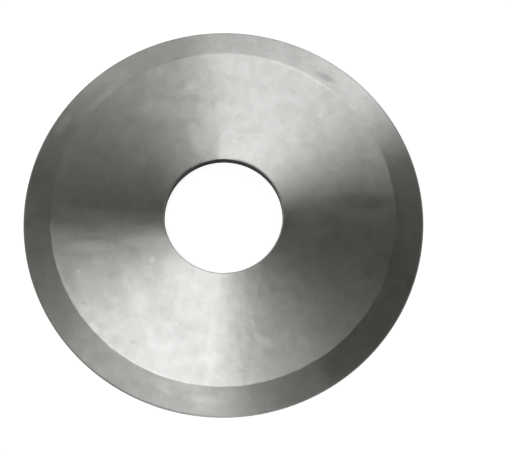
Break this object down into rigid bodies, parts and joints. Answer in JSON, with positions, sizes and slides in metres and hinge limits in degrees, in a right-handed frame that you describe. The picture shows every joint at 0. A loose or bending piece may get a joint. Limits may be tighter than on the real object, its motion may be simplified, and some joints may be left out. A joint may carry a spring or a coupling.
{
  "type": "circular knife",
  "caption": "Flat round slitting knife with a central arbor bore and one wide bevel ground round its upper face down to a fine cutting edge.",
  "frame": {"origin": "on the axis of the bore, in the flat back face that the knife lies on", "axes": "+Z along the bore's axis, from the back face to the bevelled front face; the knife is round about +Z, so +X and +Y are free"},
  "size_m": [0.17, 0.17, 0.006],
  "materials": {
    "ground_steel": "ground in rings about the bore, satin"
  },
  "bodies": {
    "root": {"knife_disc": "ground_steel"}
  },
  "joints": []
}
